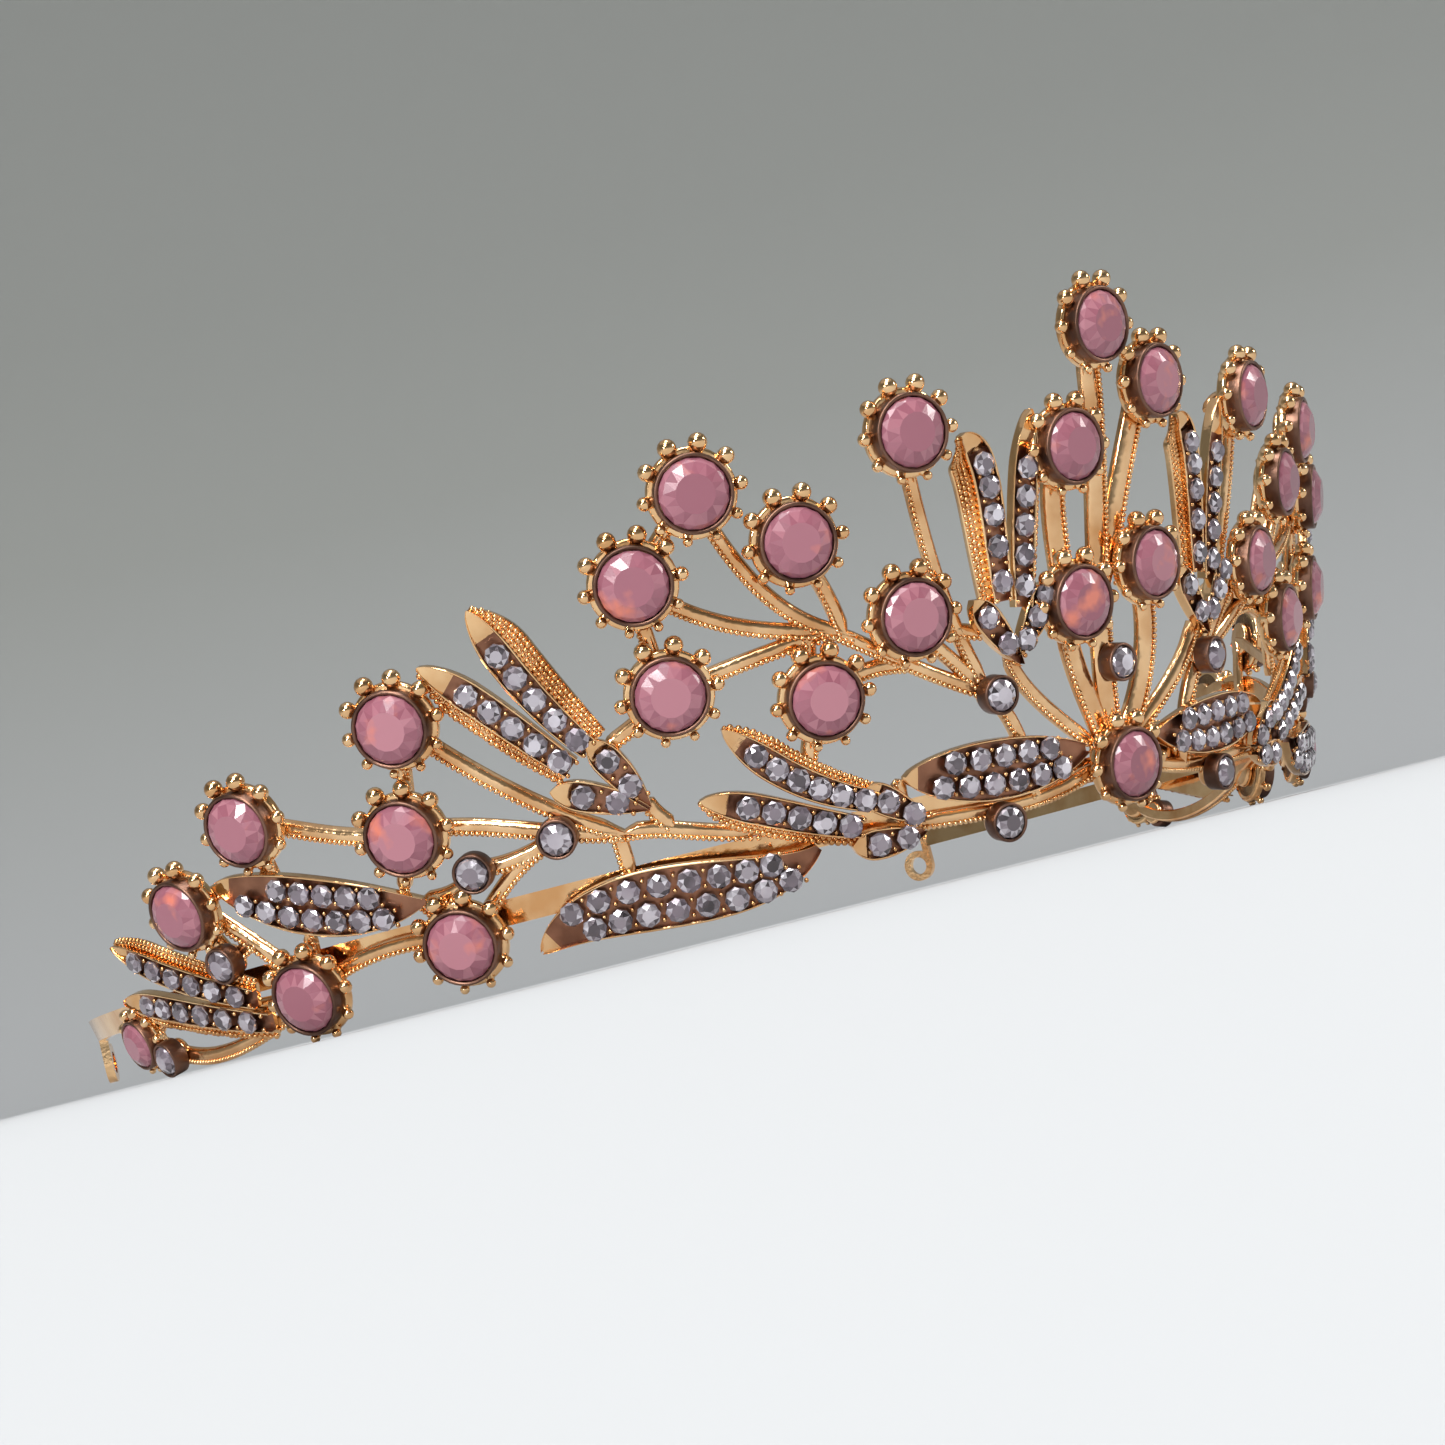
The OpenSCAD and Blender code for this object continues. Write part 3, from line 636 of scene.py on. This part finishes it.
# %% Carry a section along a curve
def carried(path, section, steps, width, inside=(), inside_from=0.0):
    """Points and faces of a closed strip. section(u) is its outline, which width(u) scales sideways.
    inside numbers the sides that are hollows, which start at inside_from."""
    count = len(section(0))
    points = []
    for i in range(steps + 1):
        u = i / steps
        points += [Vector(beside(path, u, a * width(u), b)) * MM for a, b in section(u)]
    faces = []
    for i in range(steps):
        for j in range(count):
            k = (j + 1) % count
            faces.append([i * count + j, (i + 1) * count + j, (i + 1) * count + k, i * count + k])
    faces += [list(range(count)), [steps * count + j for j in reversed(range(count))]]
    # the hollow sides take the second finish, which on a leaf is a painted shade
    marks = [(True, int(j in inside and i / steps > inside_from)) for i in range(steps) for j in range(count)]
    return points, faces, marks + [(False, 0)] * 2


def add_to(total, more):
    start = len(total[0])
    total[0].extend(more[0])
    total[1].extend([[start + v for v in f] for f in more[1]])
    total[2].extend(more[2])


def stem_section(w):
    back, front, h = -GAP - STEM_T, -GAP, w / 2
    return [(-h, back + 0.2), (-h + 0.2, back), (h - 0.2, back), (h, back + 0.2), (h, front - 0.45),
            (h - 0.22, front - 0.16), (0.3 * h, front), (-0.3 * h, front), (-h + 0.22, front - 0.16),
            (-h, front - 0.45)]


def milgrain(path, w, size, pitch):
    middle = across_at(path, 0.5)
    lower = -1 if middle[1] > 0.2 or (abs(middle[1]) <= 0.2 and middle[0] < 0) else 1
    count = max(2, round(length_of(path) / pitch))
    aside = lower * (w / 2 - 0.16)
    return [bead_matrix(beside(path, (i + 0.5) / count, aside, -0.14), size) for i in range(count)]


def pad_parts(places, size):
    nothing_selected()
    bpy.ops.mesh.primitive_cylinder_add(vertices=20, radius=size, depth=PAD_T, location=(0, 0, PAD_Z))
    disc = bpy.context.object
    bpy.ops.object.transform_apply(location=True)
    apply_modifier(disc, "BEVEL", width=0.3, segments=3, limit_method="ANGLE", angle_limit=math.radians(50))
    bpy.ops.object.shade_smooth()
    return copies_of(pattern_of(disc), [place_matrix(t, z) for t, z in places])


def tapered(u):
    """Width of a stem along its length, which narrows to its two ends."""
    return min(1, 0.35 + 6 * min(u, 1 - u))


def stem_casting(node, paths, w, places, small_places, side):
    total = ([], [], [])
    beads = []
    for path in paths:
        steps = max(10, round(length_of(path) / 0.7))
        add_to(total, carried(path, lambda u: stem_section(w), steps, tapered))
        beads += milgrain(path, w, MILGRAIN_R, MILGRAIN_PITCH)
    add_to(total, pad_parts(places, PAD_R))
    if small_places:
        add_to(total, pad_parts(small_places, SMALL_D / 2))
    build(node.replace("stems", "stem_casting"), *total, [stem_gold], node, "rose_gold", side)
    build(node.replace("stems", "milgrain"), *copies_of(bead, beads), [rose_gold], None, "rose_gold", side)
    print(node, len(paths), "stems,", len(beads), "beads")


stem_casting("stems_centre", STEMS_MAIN, MAIN_STEM_W, CENTRE, CENTRE_SMALL, "right")
for side in ("left", "right"):
    stem_casting("stems_spray_" + side, spray_stems(side), STEM_W, spray(side), SMALL[:2], side)
    stem_casting("stems_end_" + side, STEMS_END, STEM_W, END + [END_TIP], SMALL[2:], side)

# %% [markdown]
# ## Leaves
# A leaf is a shallow tray with a thin raised wall. A sprig's blades also have an outer flange that is
# covered in grains, and small beads hold the stones.

# %% Leaf shape
def leaf_profile(u, nose, tail):
    if u < nose:
        return max(0.04, math.sin(math.pi / 2 * u / nose) ** 0.6)
    return 1 + (tail - 1) * ((u - nose) / (1 - nose)) ** 2.2


def shape_of(kind):
    nose, tail = (0.45, 0.12) if kind == "tray" else (0.32, 0.7 if kind == "blade" else 0.12)
    return lambda u: leaf_profile(u, nose, tail)


WIDE_FLANGE = 1.4
LEAF_INSIDE = (9, 10, 11)  # the sides of the section between the tops of its two walls


def leaf_section(w, flange, floor):
    """Outline of a leaf across its length. A wide flange has a smooth raised rim."""
    low, high = -w - max(0, -flange), w + max(0, flange)
    edge, inner = 0.07, w - LEAF_WALL
    rim = [FLANGE_H + (0.3 if width > WIDE_FLANGE else 0) for width in (flange, -flange)]
    right = [(high - 0.1, 0), (high, 0.15), (high, rim[0] - 0.1), (high - 0.12, rim[0]),
             (high - 0.3, FLANGE_H), (w, FLANGE_H), (w, LEAF_H - edge), (w - edge, LEAF_H),
             (inner + edge, LEAF_H), (inner, LEAF_H - edge), (inner, floor)]
    left = [(-inner, floor), (-inner, LEAF_H - edge), (-inner - edge, LEAF_H), (-w + edge, LEAF_H),
            (-w, LEAF_H - edge), (-w, FLANGE_H), (low + 0.3, FLANGE_H), (low + 0.12, rim[1]),
            (low, rim[1] - 0.1), (low, 0.15), (low + 0.1, 0)]
    if high == w:
        right[3:5] = [(w, 0.3), (w, 0.35)]
    if low == -w:
        left[6:8] = [(-w, 0.35), (-w, 0.3)]
    return right + left


def floor_at(u, first, tip_floor):
    """Height of the hollow's floor, which rises to the polished tip before the first stone."""
    blend = min(1, max(0, (u - (first - 0.16)) / 0.07))
    return tip_floor + (LEAF_SEAT - tip_floor) * blend


def flange_grains(path, kind, flange):
    """Grains in rows over the flange, larger towards its rim."""
    shape, half = shape_of(kind), BLADE_HALF
    sign, width, found = (1 if flange > 0 else -1), abs(flange), []
    covered = width - 0.3 if width > WIDE_FLANGE else width
    rows = max(1, round(covered / 0.5))
    for row in range(rows):
        aside = half + covered * (row + 0.6) / rows
        size = GRAIN_R + GRAIN_GROWTH * (row + 1) / rows
        count = round(length_of(path) / GRAIN_PITCH)
        for i in range(count):
            u = (i + 0.5 * (row % 2) + 0.25) / count
            point = beside(path, u, sign * aside * shape(u), FLANGE_H)
            found.append(bead_matrix(point, size * random.uniform(0.85, 1.15)))
    return found


def stone_rows(blade):
    kind, path, _, rows = blade
    shape, found = shape_of(kind), []
    for count, first, last, aside in rows:
        for i in range(count):
            u = first + (last - first) * i / (count - 1)
            found.append((u, aside * TRAY_ROW * (0.45 + 0.55 * shape(u)), (last - first) / (count - 1)))
    return found


def claw_beads(blade):
    """Two beads after each stone of a row, the last one included."""
    path, found = blade[1], []
    for u, aside, step in stone_rows(blade):
        for sign in (-1, 1):
            point = beside(path, u + step / 2, aside + sign * CLAW_ASIDE, LEAF_H - 0.05)
            found.append(bead_matrix(point, CLAW_R))
    return found


def blades_of(name, side):
    if side == "right" and name == "upright_sprig":
        return [[kind, [[TWIN_ANGLE - t, z] for t, z in path], -flange, rows]
                for kind, path, flange, rows in LEAVES[name]]
    return LEAVES[name]


def make_leaf(name, side):
    total, grains, at = ([], [], []), [], []
    for blade in blades_of(name, side):
        kind, path, flange, _ = blade
        half = TRAY_HALF if kind == "tray" else BLADE_HALF
        steps = max(16, round(length_of(path) / 0.5))
        first = min(row[1] for row in blade[3])
        tip_floor = LEAF_SEAT if kind == "tray" else 0.85 * LEAF_H
        # the hollow sides, from just before the first stone on, take a painted shade
        add_to(total, carried(path, lambda u: leaf_section(half, flange, floor_at(u, first, tip_floor)),
                              steps, shape_of(kind), LEAF_INSIDE, first - 0.12))
        if flange:
            grains += flange_grains(path, kind, flange)
        grains += claw_beads(blade)
        for u, aside, _ in stone_rows(blade):
            q, n = curve_at(path, u), across_at(path, u)
            at.append(place_matrix(q[0], q[1], n[0] * aside, n[1] * aside, out=LEAF_SEAT - 0.05))
    tag = name + "_" + side
    leaf_piece = build("leaf_casting_" + tag, *total, [rose_gold, hollow_shade_gold], "leaf_" + tag, "rose_gold",
                       side)
    build("leaf_grains_" + tag, *copies_of(bead, grains), [cast_gold], None, "rose_gold", side)
    build("leaf_stones_" + tag, *copies_of(pave_cut, at), [crystal], "pave_" + tag, "crystal", side,
          facets=True)
    face_outwards(leaf_piece, 35)
    return len(at)


for side in ("left", "right"):
    print(side, {name: make_leaf(name, side) for name in LEAVES}, "stones")
for piece in [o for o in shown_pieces() if o.name.startswith("stem_casting")]:
    face_outwards(piece, 40)

# %% [markdown]
# ## Head band
# The band and its end loops keep their CAD shapes and take the polished finish.

# %% Finish the CAD nodes that stay
for name in ("base_band", "end_loop_left", "end_loop_right"):
    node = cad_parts[name]
    node.data.materials.clear()
    node.data.materials.append(rose_gold)

# %% [markdown]
# ## Studio
# A pale floor curves up into a grey wall all around. A large soft light stands for the window, and
# smaller ones give the polish something bright to show.

# %% Floor and wall
nothing_selected()
bpy.ops.mesh.primitive_cone_add(vertices=96, radius1=1.3, radius2=1.7, depth=2.0, end_fill_type="NGON",
                                location=(0, 0, 1.0))
studio = bpy.context.object
studio.name = "studio"
bpy.ops.object.transform_apply(location=True)
pick_faces(studio, lambda c, n: c.z > 1.9)
bpy.ops.mesh.delete(type="FACE")
bpy.ops.object.mode_set(mode="OBJECT")
apply_modifier(studio, "BEVEL", width=0.55, segments=14, limit_method="ANGLE", angle_limit=math.radians(30))
bpy.ops.object.shade_smooth()
studio_paint, nodes, links, shader, where = new_material("studio_paint")
split = nodes.new("ShaderNodeSeparateXYZ")
links.new(where.outputs["Object"], split.inputs[0])
wall = ramp_node(nodes, links, split.outputs["Z"], [(0.0, (0.50, 0.51, 0.52)), (0.35, (0.40, 0.41, 0.39))])
links.new(wall.outputs["Color"], shader.inputs["Base Color"])
shader.inputs["Roughness"].default_value = 0.9
studio.data.materials.append(studio_paint)

# %% Lights
def soft_light(name, place, size, power, colour=(1, 1, 1)):
    light = bpy.data.lights.new(name, "AREA")
    light.shape = "DISK"
    light.size, light.energy, light.color = size, power, colour
    holder = bpy.data.objects.new(name, light)
    holder.location = place
    holder.rotation_euler = (Vector((0, 0, 0.02)) - Vector(place)).to_track_quat("-Z", "Y").to_euler()
    bpy.context.collection.objects.link(holder)


soft_light("window", (-0.50, -0.45, 0.50), 0.26, 4.2)
soft_light("sky", (0.1, -0.15, 0.95), 0.30, 3.4)
soft_light("fill", (0.7, -0.6, 0.35), 0.25, 2.0, (1, 0.97, 0.93))
soft_light("glint", (-0.5, -0.2, 0.15), 0.06, 0.7)
day = bpy.data.lights.new("day", "SUN")
day.energy, day.angle = 0.9, math.radians(30)
sun = bpy.data.objects.new("day", day)
sun.rotation_euler = Vector((0.35, 0.45, -1)).to_track_quat("-Z", "Y").to_euler()
bpy.context.collection.objects.link(sun)
world = bpy.data.worlds.new("room")
world.use_nodes = True
world.node_tree.nodes["Background"].inputs["Color"].default_value = (0.75, 0.77, 0.80, 1)
world.node_tree.nodes["Background"].inputs["Strength"].default_value = 0.55
bpy.context.scene.world = world
bpy.context.scene.view_settings.view_transform = "Standard"

# %% [markdown]
# ## Camera
# It stands low, off to one side of the front, and is rolled so that the tiara climbs across the picture.

# %% Camera
azimuth, elevation, roll = math.radians(36.44), math.radians(-5.25), math.radians(-14.14)
distance, shift_right, shift_up = 279.6, 2.35, 23.2
level = math.cos(elevation)
back = Vector((-math.sin(azimuth) * level, -math.cos(azimuth) * level, math.sin(elevation)))
right = Vector((0, 0, 1)).cross(back).normalized()
up = back.cross(right)
right_r = math.cos(roll) * right + math.sin(roll) * up
up_r = -math.sin(roll) * right + math.cos(roll) * up
eye = back * distance + right_r * shift_right + up_r * shift_up + Vector((0, ARC_Y, LIFT))
lens = bpy.data.cameras.new("camera")
lens.lens, lens.sensor_width = 56.3, 36
lens.clip_start = 0.0002
camera = bpy.data.objects.new("camera", lens)
camera.matrix_world = Matrix.Translation(eye * MM) @ Matrix((right_r, up_r, back)).transposed().to_4x4()
bpy.context.collection.objects.link(camera)
bpy.context.scene.camera = camera
print("camera height above the floor in mm:", round(eye.z, 2))
